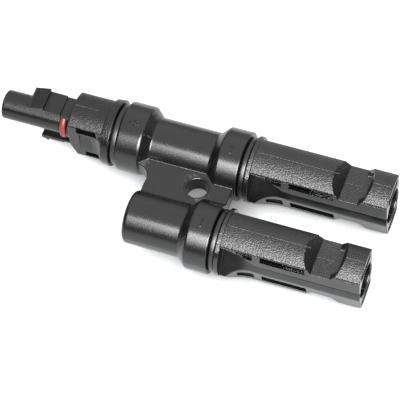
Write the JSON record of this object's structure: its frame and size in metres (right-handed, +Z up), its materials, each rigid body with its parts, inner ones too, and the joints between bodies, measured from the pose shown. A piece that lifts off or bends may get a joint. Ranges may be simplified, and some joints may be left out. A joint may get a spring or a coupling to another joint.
{
  "type": "solar cable connector",
  "caption": "Flat black branch connector for solar cables: one latching plug on a through barrel, two latching sockets side by side, joined by a web with a screw hole.",
  "frame": {"origin": "on the surface the connector lies on, under the middle of its box", "axes": "+X from the plug nose to the socket mouths, +Y towards the through line, +Z up"},
  "size_m": [0.116, 0.045, 0.02],
  "materials": {
    "housing_plastic": "fine spark-eroded grain",
    "body_plastic": "satin moulded",
    "seal_rubber": "glossy seal",
    "o_ring_silicone": "satin silicone",
    "gland_silicone": "satin silicone",
    "tinned_contact": "tin plated",
    "spring_steel": "spring strip",
    "bare_copper": "drawn copper"
  },
  "bodies": {
    "connector": {"branch_body": "body_plastic", "plug_housing": "housing_plastic", "nose_o_ring": "o_ring_silicone", "plug_seal_ring": "seal_rubber", "socket_seal_ring_through": "seal_rubber", "socket_seal_ring_branch": "seal_rubber", "socket_housing_through": "housing_plastic", "socket_housing_branch": "housing_plastic", "plug_contact": "tinned_contact", "contact_band": "spring_steel", "contact_clip": "spring_steel", "socket_pin_through": "tinned_contact", "socket_pin_branch": "tinned_contact", "pin_clip_through": "spring_steel", "pin_clip_branch": "spring_steel", "plug_gland": "gland_silicone", "socket_gland_through": "gland_silicone", "socket_gland_branch": "gland_silicone", "splice_sleeve_through": "tinned_contact", "splice_sleeve_branch": "tinned_contact", "through_conductor": "bare_copper", "branch_conductor": "bare_copper", "busbar": "bare_copper"},
    "top_arm": {"latch_arm_top": "housing_plastic"},
    "bottom_arm": {"latch_arm_bottom": "housing_plastic"}
  },
  "joints": [
    {"name": "top_arm_flex", "type": "hinge", "parent": "connector", "child": "top_arm", "pos_m": [-0.0334, 0.0125, 0.0162], "axis": [0, 1, 0], "range_deg": [-5, 0], "stiffness_Nm_per_rad": 1.5},
    {"name": "bottom_arm_flex", "type": "hinge", "parent": "connector", "child": "bottom_arm", "pos_m": [-0.0334, 0.0125, 0.0038], "axis": [0, 1, 0], "range_deg": [0, 5], "stiffness_Nm_per_rad": 1.5}
  ]
}
